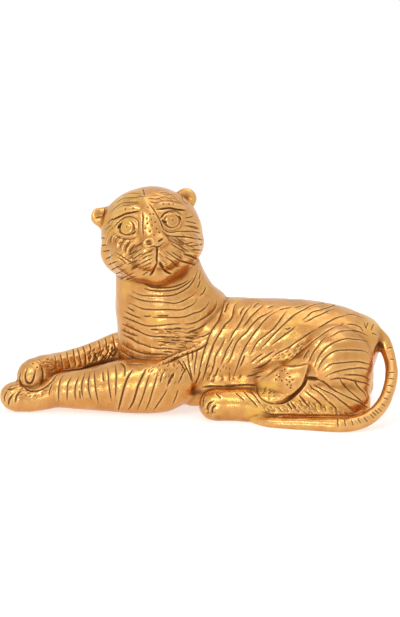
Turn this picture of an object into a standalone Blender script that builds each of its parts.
"""A cast brass tiger, lying with its forepaws crossed and its head turned to the side."""
import math
import random

import bmesh
import bpy
import numpy as np
from mathutils import Matrix, Vector, kdtree
from mathutils.bvhtree import BVHTree

# Lengths are in millimetres and angles in degrees. The tiger faces -X, and its left side is on -Y.
MM = 0.001

# Torso
BACK_HEIGHT = 82.0
TORSO_WIDTH = 74.0
SHOULDER_X = -30.0
RUMP_X = 131.0
RUMP_DROP = 16.0

# Neck
NECK_X = -21.0
CHEST_LENGTH = 83.0
CHEST_WIDTH = 70.0
NECK_TOP_DIAMETER = 64.0
NECK_TOP_HEIGHT = 118.0

# Head
HEAD_CENTRE = (-34.0, -12.0, 130.0)
HEAD_WIDTH = 75.0
HEAD_HEIGHT = 73.0
HEAD_DEPTH = 70.0
HEAD_TURN = 12.0
HEAD_LIFT = 16.0
HEAD_ROLL = 8.0
EYE_SPACING = 34.5
EYEBALL = 11.5
EAR_SIZE = 17.0
MUZZLE_WIDTH = 40.0

# Legs
PAW_TIP_X = -132.0
FORELEG_SPREAD = 33.0
FORELEG_THICKNESS = 33.0
ELBOW_X = -10.0
WRIST_LIFT = 2.0
THIGH_X = 106.0
THIGH_WIDTH = 94.0
KNEE_X = 68.0
HIND_PAW_X = 16.0
FOOT_SPREAD = 43.0
FOOT_THICKNESS = 20.0

# Tail
TAIL_DIAMETER = 9.4
TAIL_REACH = 143.5
TAIL_SPREAD = 61.0

# Skin: the cells that melt the forms together, the softening of the joints and the facets of the casting
SKIN_CELL = 1.0
SOFTENING = 10
FACETS = 11500
FACE_FINENESS = 3.0

# How much of the underside is ground away, so that the figure stands flat
BASE_CUT = 1.0

# Chiselling
STRIPE_WIDTH = 2.3
STRIPE_DEPTH = 0.8

# The eye that the marks are drawn from: how far round, how far up and how far off
EYE_ROUND = 8.0
EYE_UP = 16.0
EYE_DISTANCE = 1200.0

Y = Vector((0, 1, 0))


def catmull_rom(stations, steps):
    """Stations joined by a smooth curve, with this many steps between each two."""
    rows = np.array(stations, float)
    padded = np.vstack([2 * rows[0] - rows[1], rows, 2 * rows[-1] - rows[-2]])
    out = []
    for a, b, c, d in zip(padded, padded[1:], padded[2:], padded[3:]):
        for t in np.arange(steps) / steps:
            slope = (c - a) * t + (2 * a - 5 * b + 4 * c - d) * t**2 + (3 * b - a - 3 * c + d) * t**3
            out.append(b + 0.5 * slope)
    out.append(rows[-1])
    return np.array(out)


def section_matrix(centre, along, side, half_side, half_up):
    """Where a unit circle goes to become one section of a limb."""
    across = (side - along * side.dot(along)).normalized()
    up = along.cross(across)
    turn = Matrix((across * half_side, up * half_up, along)).transposed().to_4x4()
    return Matrix.Translation(centre) @ turn


def loft(bm, stations, segments=28, steps=4, round_ends=(1.0, 1.0), facing=None, side=Y):
    """A limb: sections (x, y, z, half across, half up) bridged in a row, with rounded ends."""
    rows = catmull_rom(stations, steps)
    centres = [Vector(row[:3]) for row in rows]
    ahead = centres[1:] + centres[-1:]
    behind = centres[:1] + centres[:-1]
    sections = [
        (centre, facing or (b - a).normalized(), row[3], row[4])
        for centre, a, b, row in zip(centres, behind, ahead, rows)
    ]
    caps = []
    for section, sign, roundness in ((sections[0], -1, round_ends[0]), (sections[-1], 1, round_ends[1])):
        centre, tangent, half_side, half_up = section
        reach = min(half_side, half_up) * roundness * sign
        cap = []
        for angle in (30, 55, 75, 86):
            share = math.cos(math.radians(angle))
            step = tangent * reach * math.sin(math.radians(angle))
            cap.append((centre + step, tangent, half_side * share, half_up * share))
        caps.append(cap)
    loops = []
    for centre, tangent, half_side, half_up in caps[0][::-1] + sections + caps[1]:
        matrix = section_matrix(centre, tangent, side, half_side, half_up)
        ring = bmesh.ops.create_circle(bm, segments=segments, radius=1, matrix=matrix)["verts"]
        loops.append(list({e for v in ring for e in v.link_edges}))
    for first, second in zip(loops, loops[1:]):
        bmesh.ops.bridge_loops(bm, edges=first + second)
    for end in (loops[0], loops[-1]):
        bmesh.ops.contextual_create(bm, geom=end)


def ball(bm, centre, radii, turn=None):
    """An ellipsoid."""
    matrix = Matrix.Translation(centre) @ (turn or Matrix()) @ Matrix.Diagonal((*radii, 1))
    bmesh.ops.create_uvsphere(bm, u_segments=32, v_segments=20, radius=1, matrix=matrix)


def head_frame():
    """The face's own axes, as columns: to the right as it is looked at, up, and out of the face."""
    turn, lift, roll = (math.radians(v) for v in (HEAD_TURN, HEAD_LIFT, HEAD_ROLL))
    out = Vector((math.sin(turn) * math.cos(lift), -math.cos(turn) * math.cos(lift), math.sin(lift)))
    right = Vector((math.cos(turn), math.sin(turn), 0))
    up = out.cross(right)
    rolled_right = right * math.cos(roll) + up * math.sin(roll)
    rolled_up = up * math.cos(roll) - right * math.sin(roll)
    return Matrix.Translation(HEAD_CENTRE) @ Matrix((rolled_right, rolled_up, out)).transposed().to_4x4()


def torso(bm):
    half = BACK_HEIGHT / 2
    wide = TORSO_WIDTH / 2
    loft(
        bm,
        [
            (SHOULDER_X, 1, half + 1, wide - 6, half - 3),
            (0, 1, half, wide - 1, half),
            (35, 1, half, wide, half),
            (70, 1, half, wide, half),
            (92, 1, half - 1, wide, half - 1),
            (RUMP_X - 20, 0, half - RUMP_DROP / 4, wide - 2, half - RUMP_DROP / 4),
            (RUMP_X - 9, -1, half - RUMP_DROP / 2, wide - 7, half - RUMP_DROP / 2),
        ],
        round_ends=(0.4, 0.25),
    )
    ball(bm, (RUMP_X - 30, 0, half - 3), (28, wide - 2, half - 4))
    for side in (-1, 1):
        loft(
            bm,
            [
                (-4, side * (wide - 10), half / 2, 10, half / 3),
                (35, side * (wide - 9), half / 2, 10, half / 3),
                (KNEE_X, side * (wide - 9), half / 2, 10, half / 3),
            ],
        )


def neck(bm):
    half_long = CHEST_LENGTH / 2
    half_wide = CHEST_WIDTH / 2
    half_top = NECK_TOP_DIAMETER / 2
    loft(
        bm,
        [
            (NECK_X + 4, 0, 7, half_wide - 8, half_long - 12),
            (NECK_X + 1, 0, 22, half_wide - 3, half_long - 5),
            (NECK_X - 1, 0, 34, half_wide - 1, half_long - 2),
            (NECK_X, 0, 46, half_wide, half_long),
            (NECK_X, -1, 60, half_wide, half_long),
            (NECK_X, -2, 73, half_wide - 1, half_long + 1),
            (NECK_X - 1, -3, 84, half_wide - 2, half_long - 0.5),
            (NECK_X - 4.5, -3, 90, half_wide - 3, half_long - 4),
            (NECK_X - 7, -4, 97, half_wide - 5, half_top + 2.5),
            (NECK_X - 9, -6, 106, half_top - 4, half_top + 0.5),
            (NECK_X - 12, -8, NECK_TOP_HEIGHT, half_top - 6, half_top - 2),
        ],
        facing=Vector((0, 0, 1)),
        round_ends=(0.15, 0.5),
    )


def head(bm):
    frame = head_frame()
    turn = frame.to_3x3().to_4x4()
    half = Vector((HEAD_WIDTH, HEAD_HEIGHT, HEAD_DEPTH)) / 2
    muzzle = MUZZLE_WIDTH / 2
    ear = EAR_SIZE / 2
    forms = [
        ((0, 0, 0), half),
        ((-1, 7.5, -1), half - Vector((2, 7.5, 2))),
        ((-1, -8, 1), half - Vector((-1, 11, 6))),
        ((1, -13, half.z - 9), (muzzle, 15, 15)),
        ((2, -28, half.z - 15), (muzzle * 0.65, 9, 12)),
        ((2, -5, half.z), (7.5, 5.5, 6)),
        ((28.5, 23, -6), (ear, ear - 0.3, 4.5)),
        ((-34.3, 22, -6), (ear - 1.5, ear - 2, 4.5)),
    ]
    for place, radii in forms:
        ball(bm, frame @ Vector(place), radii, turn)
    bridge = [
        ((-1.5, 24, half.z - 14), 3, 5),
        ((-0.5, 12, half.z - 8), 5.5, 7),
        ((1, 2, half.z - 4), 7.5, 7.5),
        ((2, -5, half.z - 3), 7, 6.5),
    ]
    loft(bm, [(*(frame @ Vector(place)), across, deep) for place, across, deep in bridge], side=frame.col[0].xyz)


def near_foreleg(bm):
    half = FORELEG_THICKNESS / 2
    spread = FORELEG_SPREAD
    loft(
        bm,
        [
            (PAW_TIP_X, -spread - 8, 11.5, 12, 11.5),
            (PAW_TIP_X + 10, -spread - 7, 12, 11, 10.5),
            (PAW_TIP_X + 21, -spread - 5, 11 + WRIST_LIFT, 10.5, 10.5),
            (-100, -spread - 4, 14 + WRIST_LIFT, 12, half - 3.5),
            (-85, -spread - 3, 16 + WRIST_LIFT / 2, 13.5, half - 2),
            (-70, -spread - 2, 18, 14.5, half),
            (-56, -spread - 1, 20, 16, half + 3),
            (-33, -spread, 21.5, 17, half + 4.5),
            (ELBOW_X - 10, -spread + 1, 24, 16.5, half + 4.5),
            (ELBOW_X, -spread + 3, 26, 14, half + 1.5),
        ],
        round_ends=(1.2, 0.9),
    )
    loft(
        bm,
        [
            (ELBOW_X - 2, -spread + 4, 24, 13, 14),
            (ELBOW_X + 8, -spread + 7, 38, 12, 19),
            (ELBOW_X + 14, -spread + 11, 52, 11, 20),
        ],
        round_ends=(0.6, 0.8),
    )


def far_foreleg(bm):
    half = FORELEG_THICKNESS / 2
    spread = FORELEG_SPREAD
    loft(
        bm,
        [
            (PAW_TIP_X + 9.5, -22, 24.5, 13, 13.5),
            (PAW_TIP_X + 17, -15, 25, 12, 12.5),
            (-106, -8, 25.5, 12, half - 4),
            (-93, 3, 25, 13, half - 2),
            (-80, 12, 26, 14, half + 0.5),
            (-66, spread - 13, 27, 15, half + 5),
            (-50, spread - 7, 25.5, 16, half + 6.5),
            (-33, spread - 2, 23, 16, half + 5),
            (ELBOW_X - 10, spread - 2, 24, 15, half + 4.5),
            (ELBOW_X, spread - 4, 26, 13, half + 1.5),
        ],
        round_ends=(1.1, 0.9),
    )
    loft(
        bm,
        [
            (ELBOW_X - 2, spread - 4, 24, 13, 14),
            (ELBOW_X + 8, spread - 7, 38, 12, 19),
            (ELBOW_X + 14, spread - 11, 52, 11, 20),
        ],
        round_ends=(0.6, 0.8),
    )


def hind_leg(bm, side):
    """One folded hind leg: thigh, knee, shank and the foot on the floor."""
    foot = FOOT_THICKNESS / 2
    wide = THIGH_WIDTH / 2
    ball(bm, (THIGH_X - 3, side * (wide - 25), 40), (27, 25, 30))
    ball(bm, (THIGH_X + 4, side * (wide - 20), 26), (19.5, 16, 25))
    loft(
        bm,
        [
            (THIGH_X - 11, side * (wide - 14), 34, 11, 18),
            (KNEE_X + 14, side * (wide - 10), 33, 10, 16),
            (KNEE_X + 4, side * (wide - 9), 31, 9, 14),
        ],
        round_ends=(1, 0.9),
    )
    ball(bm, (KNEE_X - 3, side * (wide - 11), 29), (21, 9, 14))
    loft(
        bm,
        [
            (KNEE_X + 12, side * (FOOT_SPREAD - 5), 22, 9, 11),
            (THIGH_X - 10, side * (FOOT_SPREAD - 4), 19, 10, 13),
            (THIGH_X + 6, side * (FOOT_SPREAD - 6), 16, 11, 14),
            (THIGH_X + 17, side * (FOOT_SPREAD - 9), 13, 9, 12),
        ],
        round_ends=(1, 0.6),
    )
    loft(
        bm,
        [
            (HIND_PAW_X, side * FOOT_SPREAD, foot + 1.5, 11, foot + 1.5),
            (HIND_PAW_X + 12, side * FOOT_SPREAD, foot + 2, 10.5, foot + 2),
            (HIND_PAW_X + 24, side * FOOT_SPREAD, foot + 2, 10.5, foot + 2),
            (KNEE_X - 6, side * FOOT_SPREAD, foot, 10, foot + 0.5),
            (THIGH_X - 20, side * (FOOT_SPREAD - 1), foot - 1, 9.5, foot),
            (THIGH_X + 4, side * (FOOT_SPREAD - 3), foot - 1, 9.5, foot),
            (THIGH_X + 18, side * (FOOT_SPREAD - 8), foot, 8, foot),
        ],
        round_ends=(1, 0.6),
    )


def tail(bm):
    half = TAIL_DIAMETER / 2
    out = TAIL_SPREAD
    loft(
        bm,
        [
            (RUMP_X - 16, 0, 59, half + 1.5, half + 1.5),
            (RUMP_X - 5, -1, 60.5, half + 1, half + 1),
            (RUMP_X + 5, -3, 55.5, half + 0.5, half + 0.5),
            (TAIL_REACH - 3.3, -9, 47.5, half + 0.1, half + 0.1),
            (TAIL_REACH, -19, 37, half, half),
            (TAIL_REACH - 1, -33, 26, half, half),
            (TAIL_REACH - 6, out - 107, 16.5, half + 0.2, half + 0.2),
            (TAIL_REACH - 15, 6 - out, 9.5, half + 0.4, half + 0.4),
            (TAIL_REACH - 27.5, 1 - out, 5.8, half + 0.6, half + 0.6),
            (102, -out, 5, half + 0.4, half + 0.4),
            (81, 2 - out, 4.4, half, half),
            (63, 3.5 - out, 4, half - 0.5, half - 0.5),
            (53, 7 - out, 3.8, half - 0.9, half - 0.9),
            (46, 11 - out, 3.6, half - 1.7, half - 1.7),
        ],
        segments=20,
    )


def blocked_out():
    """Every form of the figure, overlapping, in one mesh."""
    bm = bmesh.new()
    torso(bm)
    neck(bm)
    head(bm)
    near_foreleg(bm)
    far_foreleg(bm)
    hind_leg(bm, -1)
    hind_leg(bm, 1)
    tail(bm)
    bmesh.ops.recalc_face_normals(bm, faces=bm.faces)
    mesh = bpy.data.meshes.new("tiger_forms")
    bm.to_mesh(mesh)
    bm.free()
    return mesh


def modified(obj):
    """The mesh that an object's modifiers make."""
    bpy.context.view_layer.update()
    graph = bpy.context.evaluated_depsgraph_get()
    mesh = bpy.data.meshes.new_from_object(obj.evaluated_get(graph))
    obj.modifiers.clear()
    obj.data = mesh


def melt(obj, iterations):
    """The forms become one skin, and the joints between them soften."""
    remesh = obj.modifiers.new("melt", "REMESH")
    remesh.mode = "VOXEL"
    remesh.voxel_size = SKIN_CELL
    soften = obj.modifiers.new("soften", "SMOOTH")
    soften.factor = 0.5
    soften.iterations = iterations
    modified(obj)


def eye_axes():
    """The eye's place, and the directions to its right and up."""
    turn, lift = math.radians(EYE_ROUND), math.radians(EYE_UP)
    back = Vector((math.sin(turn) * math.cos(lift), -math.cos(turn) * math.cos(lift), math.sin(lift)))
    right = Vector((math.cos(turn), math.sin(turn), 0))
    return back * EYE_DISTANCE, right, back.cross(right)


class Skin:
    """The skin of a mesh, for finding and moving its points."""

    def __init__(self, obj):
        self.mesh = obj.data
        self.points = np.empty(len(self.mesh.vertices) * 3, np.float32)
        self.mesh.vertices.foreach_get("co", self.points)
        self.points = self.points.reshape(-1, 3).astype(float)
        self.tree = BVHTree.FromPolygons(self.points.tolist(), [p.vertices[:] for p in self.mesh.polygons])
        self.find = kdtree.KDTree(len(self.points))
        for i, point in enumerate(self.points):
            self.find.insert(point, i)
        self.find.balance()
        self.refresh_normals()

    def refresh_normals(self):
        self.mesh.update()
        normals = np.empty(len(self.points) * 3, np.float32)
        self.mesh.vertex_normals.foreach_get("vector", normals)
        self.normals = normals.reshape(-1, 3).astype(float)

    def cast(self, right_mm, up_mm, mirrored=False):
        """The point of the skin that the eye sees at this place of its picture, or None."""
        eye, right, up = eye_axes()
        aim = right * right_mm + up * up_mm
        if mirrored:
            eye = Vector((eye.x, -eye.y, eye.z))
            aim = Vector((aim.x, -aim.y, aim.z))
        return self.tree.ray_cast(eye, (aim - eye).normalized())[0]

    def stroke(self, marks, mirrored=False, spacing=0.7):
        """A drawn line, as points on the skin a short step apart."""
        found = []
        smooth = catmull_rom(marks, 8)
        for (x0, y0), (x1, y1) in zip(smooth, smooth[1:]):
            steps = max(1, round(math.hypot(x1 - x0, y1 - y0) / spacing))
            for t in np.arange(steps) / steps:
                point = self.cast(x0 + (x1 - x0) * t, y0 + (y1 - y0) * t, mirrored)
                if point is not None:
                    found.append(point)
        return found

    def push(self, centre, radii, height):
        """Raises a round swelling of the skin, or sinks a hollow where the height is negative."""
        if centre is None:
            return
        reach = max(radii)
        for place, i, far in self.find.find_range(centre, reach):
            share = 1 - (far / reach) ** 2
            self.points[i] += self.normals[i] * height * share**1.5

    def dome(self, centre, radius, height):
        """Raises a ball out of the skin, with a crisp foot."""
        if centre is None:
            return
        for place, i, far in self.find.find_range(centre, radius):
            self.points[i] += self.normals[i] * height * math.sqrt(1 - (far / radius) ** 2)

    def raise_patch(self, outline, height, edge, mirrored=False):
        """Raises the part of the skin that the eye sees inside a drawn outline, with a rim this wide."""
        eye, right, up = eye_axes()
        flip = np.array((1, -1, 1) if mirrored else (1, 1, 1), float)
        eye = np.array(eye)
        back = eye / EYE_DISTANCE
        seen = self.points * flip
        shrink = 1 - seen @ back / EYE_DISTANCE
        flat = np.stack([seen @ np.array(right) / shrink, seen @ np.array(up) / shrink], 1)
        faces_eye = (self.normals * flip) @ back > 0.05
        near = faces_eye & (seen[:, 1] < 0)
        rim = np.array(catmull_rom(list(outline) + [outline[0]], 6))
        low, high = rim.min(0), rim.max(0)
        near &= ((flat > low) & (flat < high)).all(1)
        for i in np.flatnonzero(near):
            x, y = flat[i]
            a, b = rim[:-1], rim[1:]
            crossing = (a[:, 1] > y) != (b[:, 1] > y)
            place = a[:, 0] + (y - a[:, 1]) * (b[:, 0] - a[:, 0]) / np.where(crossing, b[:, 1] - a[:, 1], 1)
            if (crossing & (place > x)).sum() % 2 == 0:
                continue
            along = np.clip(((x - a[:, 0]) * (b - a)[:, 0] + (y - a[:, 1]) * (b - a)[:, 1])
                            / ((b - a) ** 2).sum(1), 0, 1)
            gap = np.hypot(*(a + (b - a) * along[:, None] - (x, y)).T).min()
            share = min(1.0, gap / edge)
            self.points[i] += self.normals[i] * height * share * (2 - share)

    def carve(self, strokes, width, depth):
        """Cuts strokes into the skin, or raises ridges where the depth is negative. They thin out at their ends."""
        sums = np.zeros(len(self.points))
        for stroke in strokes:
            last = max(1, len(stroke) - 1)
            for k, point in enumerate(stroke):
                taper = min(1.0, 0.35 + 4 * min(k, last - k) / last)
                half = width / 2 * (0.6 + 0.4 * taper)
                for place, i, far in self.find.find_range(point, half):
                    share = 1 - far / half
                    cut = depth * taper * (share * share * (3 - 2 * share))
                    if abs(cut) > abs(sums[i]):
                        sums[i] = cut
        self.points -= self.normals * sums[:, None]

    def apply(self):
        self.mesh.vertices.foreach_set("co", self.points.astype(np.float32).ravel())
        self.refresh_normals()


# Marks, as points to the right of and above the origin in the picture plane of the eye.
# A family is a count of strokes, and the key strokes that they run between.
NECK_RINGS = (
    15,
    [(-46, 91), (-36, 88), (-24, 87.5), (-12, 91), (-3, 100)],
    [(-54, 82), (-42, 78.5), (-30, 77), (-16, 77), (-2, 85)],
    [(-60, 66), (-45, 60), (-28, 59.5), (-5, 61.5), (13, 76)],
    [(-60, 51), (-46, 45.5), (-30, 41), (-14, 41.5), (-4, 44)],
    [(-59, 39), (-51, 34.5), (-40, 33.3), (-32, 33.5), (-26, 34.5)],
)
BIB_EDGE = (1, [(-28, 31), (-14, 38), (0, 44.5), (9, 55), (14, 66), (18.5, 78)])
FLANK_STRIPES = (
    17,
    [(29, 76.5), (24.5, 67), (16, 54), (8, 38), (2, 17)],
    [(40, 75), (32, 62), (24, 50), (18, 35), (13, 22)],
    [(62, 71), (47, 60), (37, 47), (30, 33), (25, 18)],
    [(95, 76), (73, 67), (55, 50), (42, 38), (35, 27)],
    [(111, 68), (95, 60), (76, 48), (60, 37), (46, 26)],
)
THIGH_ARCS = (
    9,
    [(125, 60), (112, 62), (96, 54), (84, 43), (76, 36)],
    [(128, 49), (118, 54), (103, 53), (91, 46), (83, 32)],
    [(129, 37), (118, 40), (103, 39), (93, 33), (87, 25)],
    [(129, 25), (119, 26.5), (108, 25), (99, 22), (92, 18)],
    [(129, 13), (122, 15.5), (114, 17), (106, 17.5), (100, 17)],
)
THIGH_SLANTS = (
    3,
    [(97, 13), (107, 7), (117, 2), (127, -3)],
    [(107, 18), (113, 11), (120, 4), (127, -1)],
    [(117, 16), (121, 11), (125, 7), (128, 4)],
)
SHANK_SLANTS = (
    5,
    [(75, 5), (79, 1), (82, -3), (85, -6)],
    [(82, 11), (89, 4), (95, -1), (100, -5)],
    [(86, 14), (97, 8), (107, 0), (116, -7)],
)
ARMPIT_FAN = (
    6,
    [(-17, 33), (-12, 27), (-9, 21), (-6, 15)],
    [(-9, 41), (-8, 32), (-7, 23), (-5, 15)],
    [(3, 41), (1.5, 32), (-1, 22), (-3, 15)],
    [(8, 41), (6, 32), (3, 22), (1, 14)],
)
FOREARM_STRIPES = (
    11,
    [(-103, 20), (-106, 12), (-107, 2)],
    [(-84, 22), (-84.5, 12), (-82.5, 1)],
    [(-59, 30), (-58, 18), (-61, 3)],
)
UPPER_ARM_STRIPES = (
    7,
    [(-51, 25), (-56, 15), (-61.5, -6)],
    [(-32, 23), (-35, 10), (-41, -6)],
    [(-15, 14), (-18, 6), (-21, -1)],
)
CROSSED_ARM_STRIPES = (
    11,
    [(-109, 34), (-107, 29), (-106, 24)],
    [(-92.5, 41), (-90, 33), (-88.5, 25)],
    [(-66, 51), (-64, 45), (-63, 39)],
)
FOOT_STRIPES = (4, [(27, 8), (34, 2), (40, -4)], [(40, 10), (43, 4), (47, -2)])
KNEE_CAP = ((47, 13), (48, 6), (54, 2), (62, 2), (70, 7), (76, 13), (79, 20), (80, 27), (72, 26), (64, 26), (54, 20))
THIGH_FOLD = (1, [(82, 19), (88, 18.5), (94, 16), (100, 11), (105, 8)])
WRIST_FOLD = (1, [(-103, 22.5), (-109, 20), (-113, 15), (-118, 10), (-121, 6)])
CHEEK_CUTS_LEFT = (
    8,
    [(-75, 126), (-72.5, 125.5)],
    [(-74, 115.5), (-68, 116)],
    [(-68, 101), (-58, 105.5)],
    [(-58, 92), (-48, 96)],
)
CHEEK_CUTS_RIGHT = (
    8,
    [(-12, 139), (-7, 138), (-3, 137)],
    [(-20, 127), (-10, 126.5), (-3, 124.5)],
    [(-12, 119), (-4, 118), (2, 117)],
    [(-14, 108), (-9, 106.5), (-5, 105)],
)
WHISKERS_LEFT = (4, [(-36, 116), (-40, 115), (-45, 113)], [(-38, 101), (-41, 99), (-44, 96)])
WHISKERS_RIGHT = (4, [(-26.5, 116), (-22, 112), (-17, 108)], [(-27, 105), (-23, 102.5), (-19, 101)])
FOREHEAD_LEFT = (3, [(-69, 145), (-61, 151.5), (-48, 153)], [(-60, 155.5), (-53, 158), (-46, 158)])
FOREHEAD_RIGHT = (3, [(-38, 155), (-29, 155.5), (-18, 152)], [(-36, 159.5), (-24, 160), (-13, 154)])
FACE_CREASES = (
    [(-67, 139.5), (-62, 142), (-57, 144.3), (-52, 145.2), (-47, 146.2)],
    [(-32.5, 147.5), (-28, 148.3), (-23, 148.8), (-18, 147.5), (-12, 147)],
    [(-44, 146), (-43.5, 141), (-44, 136), (-43.5, 131), (-43, 127)],
    [(-39.5, 152.5), (-36, 148.5), (-33, 144), (-30.5, 139.5), (-28.5, 135), (-27, 131)],
    [(-32.5, 118), (-32.8, 113), (-33, 109), (-32.3, 106)],
    [(-32.5, 106.5), (-34.3, 103), (-36, 99.5), (-38, 97)],
    [(-31.5, 106.5), (-29, 103), (-26, 100), (-21.5, 98)],
    [(-30, 131), (-25, 127.5), (-18, 127), (-10, 126.5)],
)
EYELIDS = (
    [(-65, 131), (-62, 136), (-58, 139.5), (-54, 140), (-50.5, 137.5), (-48.5, 133), (-49.5, 129)],
    [(-64, 130.5), (-60, 128), (-56, 127), (-52, 127.3), (-49, 129)],
    [(-29.5, 138.5), (-27, 142.5), (-22.5, 144.5), (-18, 144), (-14.5, 141.5)],
    [(-29, 138), (-26.5, 134), (-22, 132.5), (-17, 134), (-14.5, 138)],
)
BROWS = (
    [(-67, 143), (-60, 147), (-53, 149), (-46, 149.5)],
    [(-33, 150.5), (-26, 152), (-18, 150.5), (-11, 148.5)],
)
EYES = ((-55.5, 134), (-21.5, 138.8))
NOSTRILS = ((-38.7, 122.3), (-29.8, 124.3))
WHISKER_PADS = ((-41, 110), (-24, 110))


def family(marks):
    """The strokes of a family, evenly spread between its key strokes."""
    count, keys = marks[0], [np.array(k, float) for k in marks[1:]]
    if count == 1:
        return [keys[0].tolist()]
    out = []
    for n in range(count):
        place = n * (len(keys) - 1) / (count - 1)
        low = min(int(place), len(keys) - 2)
        out.append((keys[low] + (keys[low + 1] - keys[low]) * (place - low)).tolist())
    return out


def hand_cut(strokes, chance):
    """Strokes as a hand cuts them: a little long or short, and never quite even."""
    out = []
    for marks in strokes:
        rows = np.array(marks, float)
        rows += chance.uniform(-0.45, 0.45)
        reach = rows[-1] - rows[-2]
        rows[-1] += reach * chance.uniform(-0.25, 0.15)
        reach = rows[0] - rows[1]
        rows[0] += reach * chance.uniform(-0.25, 0.1)
        out.append(rows.tolist())
    return out


def model_face(skin):
    """Swells and sinks the skin into brows, sockets, eyes, whisker pads and a nose."""
    for place in EYES:
        skin.push(skin.cast(*place), (EYEBALL,), -2.4)
    skin.apply()
    skin.carve([skin.stroke(marks) for marks in BROWS], 8, -1.7)
    for place in WHISKER_PADS:
        skin.push(skin.cast(*place), (11,), 2.2)
    for place in EYES:
        skin.dome(skin.cast(*place), EYEBALL / 2, 2.6)
    skin.apply()
    skin.carve([skin.stroke(marks) for marks in EYELIDS], 2.6, -1.1)
    for place in NOSTRILS:
        skin.push(skin.cast(*place), (4.2,), 1.0)
        skin.push(skin.cast(*place), (2.4,), -2.6)
    skin.apply()


def chisel(skin):
    """Raises the kneecaps, and cuts the stripes of both flanks, the creases and the hair of the face."""
    for mirrored in (False, True):
        skin.raise_patch(KNEE_CAP, 2.2, 1.6, mirrored)
    skin.apply()
    chance = random.Random(7)
    both_sides = (FLANK_STRIPES, THIGH_ARCS, THIGH_SLANTS, SHANK_SLANTS, ARMPIT_FAN, NECK_RINGS)
    both_sides += (FOREARM_STRIPES, UPPER_ARM_STRIPES, FOOT_STRIPES)
    near_side = (CROSSED_ARM_STRIPES, CHEEK_CUTS_LEFT, CHEEK_CUTS_RIGHT, WHISKERS_LEFT, WHISKERS_RIGHT)
    near_side += (FOREHEAD_LEFT, FOREHEAD_RIGHT)
    strokes = []
    for marks in both_sides:
        strokes += [skin.stroke(m) for m in hand_cut(family(marks), chance)]
        strokes += [skin.stroke(m, mirrored=True) for m in hand_cut(family(marks), chance)]
    for marks in near_side:
        strokes += [skin.stroke(m) for m in hand_cut(family(marks), chance)]
    skin.carve(strokes, STRIPE_WIDTH, STRIPE_DEPTH)
    folds = [family(m)[0] for m in (BIB_EDGE, THIGH_FOLD, WRIST_FOLD)]
    folds += [list(m) for m in FACE_CREASES]
    skin.carve([skin.stroke(m) for m in folds], STRIPE_WIDTH * 1.3, STRIPE_DEPTH * 1.6)
    skin.apply()


def thin_out(obj):
    """Thins the facets, and least of all on the face."""
    face = head_frame() @ Vector((0, 0, HEAD_DEPTH / 2))
    finer = obj.vertex_groups.new(name="finer")
    for v in obj.data.vertices:
        finer.add([v.index], 0.2 if (v.co - face).length < HEAD_WIDTH * 0.55 else 1.0, "REPLACE")
    thin = obj.modifiers.new("thin", "DECIMATE")
    thin.vertex_group = finer.name
    thin.vertex_group_factor = FACE_FINENESS
    thin.ratio = FACETS / sum(len(p.vertices) - 2 for p in obj.data.polygons)
    modified(obj)
    obj.vertex_groups.clear()


def stand(obj):
    """Grinds the underside flat, and sets the origin on the ground under the middle."""
    bm = bmesh.new()
    bm.from_mesh(obj.data)
    cut = bmesh.ops.bisect_plane(
        bm,
        geom=bm.verts[:] + bm.edges[:] + bm.faces[:],
        plane_co=(0, 0, BASE_CUT),
        plane_no=(0, 0, 1),
        clear_inner=True,
    )
    rim = [e for e in cut["geom_cut"] if isinstance(e, bmesh.types.BMEdge)]
    bmesh.ops.holes_fill(bm, edges=rim, sides=0)
    bmesh.ops.triangulate(bm, faces=bm.faces)
    low = Vector([min(v.co[i] for v in bm.verts) for i in range(3)])
    high = Vector([max(v.co[i] for v in bm.verts) for i in range(3)])
    bmesh.ops.scale(bm, vec=(MM, MM, MM), verts=bm.verts)
    bm.to_mesh(obj.data)
    bm.free()
    obj.location = Vector((-(low.x + high.x) / 2, -(low.y + high.y) / 2, -low.z)) * MM


def brass():
    """Polished yellow brass."""
    material = bpy.data.materials.new("brass")
    material.use_nodes = True
    shader = material.node_tree.nodes["Principled BSDF"]
    shader.inputs["Base Color"].default_value = (0.65, 0.36, 0.11, 1)
    shader.inputs["Metallic"].default_value = 1
    shader.inputs["Roughness"].default_value = 0.3
    return material


for old in list(bpy.data.objects):
    bpy.data.objects.remove(old)
collection = bpy.data.collections.new("tiger_figurine")
bpy.context.scene.collection.children.link(collection)

tiger = bpy.data.objects.new("tiger", blocked_out())
collection.objects.link(tiger)
melt(tiger, SOFTENING)
skin = Skin(tiger)
model_face(skin)
chisel(skin)
thin_out(tiger)
stand(tiger)
tiger.data.materials.append(brass())
tiger.data.shade_smooth()
tiger.data.set_sharp_from_angle(angle=math.radians(40))
